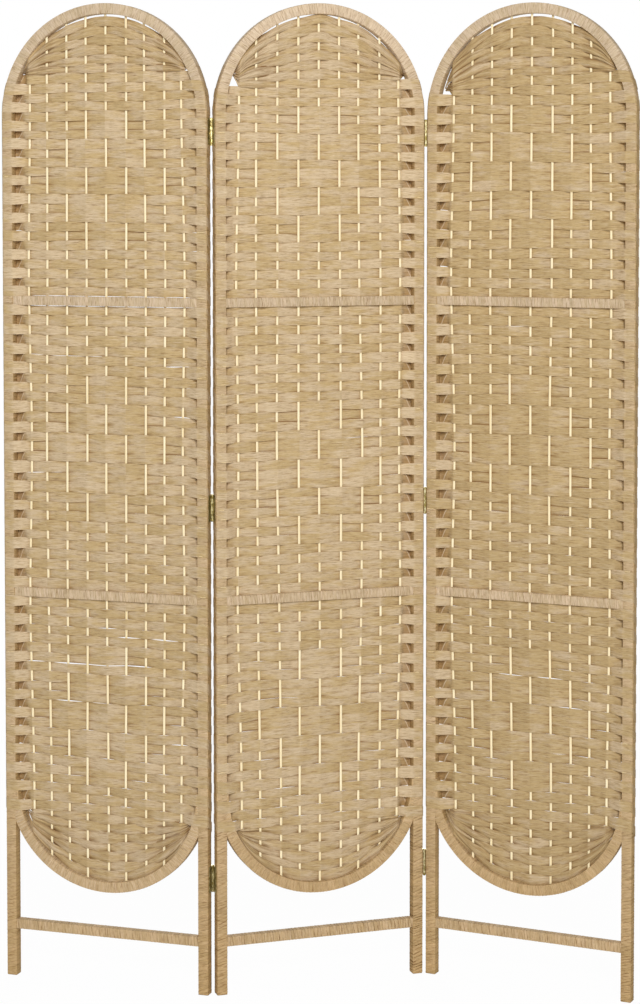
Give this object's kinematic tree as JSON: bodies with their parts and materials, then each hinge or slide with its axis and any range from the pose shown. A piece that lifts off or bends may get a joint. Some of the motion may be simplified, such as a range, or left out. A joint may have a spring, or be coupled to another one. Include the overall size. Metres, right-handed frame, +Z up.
{
  "type": "folding screen",
  "caption": "Free-standing folding screen: round-headed panels of paper ribbon woven over upright rods on a wound wooden frame, joined by butt hinges.",
  "frame": {"origin": "on the floor, under the middle of the box round the standing screen in its rest pose", "axes": "+Z up, +X to the right as seen from the front, -Y towards the viewer, so the screen is widest along X and thinnest along Y"},
  "size_m": [1.1516, 0.1888, 1.8],
  "materials": {
    "frame_wood": "bare sawn softwood, hidden under the paper except at the feet",
    "rod_wood": "pale round sticks, smooth and satin",
    "woven_paper": "crinkled paper ribbon, matt, natural tan",
    "wound_paper": "paper ribbon wound on the frame, matt, natural tan",
    "hinge_brass": "antiqued brass, darkened, bright on worn edges"
  },
  "bodies": {
    "centre_panel": {"centre_panel_bottom_arch": "frame_wood", "centre_panel_frame_dowels": "frame_wood", "centre_panel_frame_wrap": "wound_paper", "centre_panel_left_post": "frame_wood", "centre_panel_leg_stretcher": "frame_wood", "centre_panel_lower_crossbar": "frame_wood", "centre_panel_lower_weave": "woven_paper", "centre_panel_middle_weave": "woven_paper", "centre_panel_right_post": "frame_wood", "centre_panel_top_arch": "frame_wood", "centre_panel_upper_crossbar": "frame_wood", "centre_panel_upper_weave": "woven_paper", "centre_panel_warp_rods": "rod_wood", "left_joint_bottom_hinge_centre_leaf": "hinge_brass", "left_joint_centre_leaf_screws": "hinge_brass", "left_joint_hinge_pins": "hinge_brass", "left_joint_middle_hinge_centre_leaf": "hinge_brass", "left_joint_top_hinge_centre_leaf": "hinge_brass", "right_joint_bottom_hinge_centre_leaf": "hinge_brass", "right_joint_centre_leaf_screws": "hinge_brass", "right_joint_hinge_pins": "hinge_brass", "right_joint_middle_hinge_centre_leaf": "hinge_brass", "right_joint_top_hinge_centre_leaf": "hinge_brass"},
    "left_panel": {"left_joint_bottom_hinge_outer_leaf": "hinge_brass", "left_joint_middle_hinge_outer_leaf": "hinge_brass", "left_joint_outer_leaf_screws": "hinge_brass", "left_joint_top_hinge_outer_leaf": "hinge_brass", "left_panel_bottom_arch": "frame_wood", "left_panel_frame_dowels": "frame_wood", "left_panel_frame_wrap": "wound_paper", "left_panel_left_post": "frame_wood", "left_panel_leg_stretcher": "frame_wood", "left_panel_lower_crossbar": "frame_wood", "left_panel_lower_weave": "woven_paper", "left_panel_middle_weave": "woven_paper", "left_panel_right_post": "frame_wood", "left_panel_top_arch": "frame_wood", "left_panel_upper_crossbar": "frame_wood", "left_panel_upper_weave": "woven_paper", "left_panel_warp_rods": "rod_wood"},
    "right_panel": {"right_joint_bottom_hinge_outer_leaf": "hinge_brass", "right_joint_middle_hinge_outer_leaf": "hinge_brass", "right_joint_outer_leaf_screws": "hinge_brass", "right_joint_top_hinge_outer_leaf": "hinge_brass", "right_panel_bottom_arch": "frame_wood", "right_panel_frame_dowels": "frame_wood", "right_panel_frame_wrap": "wound_paper", "right_panel_left_post": "frame_wood", "right_panel_leg_stretcher": "frame_wood", "right_panel_lower_crossbar": "frame_wood", "right_panel_lower_weave": "woven_paper", "right_panel_middle_weave": "woven_paper", "right_panel_right_post": "frame_wood", "right_panel_top_arch": "frame_wood", "right_panel_upper_crossbar": "frame_wood", "right_panel_upper_weave": "woven_paper", "right_panel_warp_rods": "rod_wood"}
  },
  "joints": [
    {"name": "left_fold", "type": "hinge", "parent": "centre_panel", "child": "left_panel", "pos_m": [-0.18685, -0.03377, 0.889], "axis": [0, 0, -1], "range_deg": [-36.8, 143.2]},
    {"name": "right_fold", "type": "hinge", "parent": "centre_panel", "child": "right_panel", "pos_m": [0.20245, 0.07331, 0.889], "axis": [0, 0, -1], "range_deg": [-43.9, 136.1]}
  ]
}
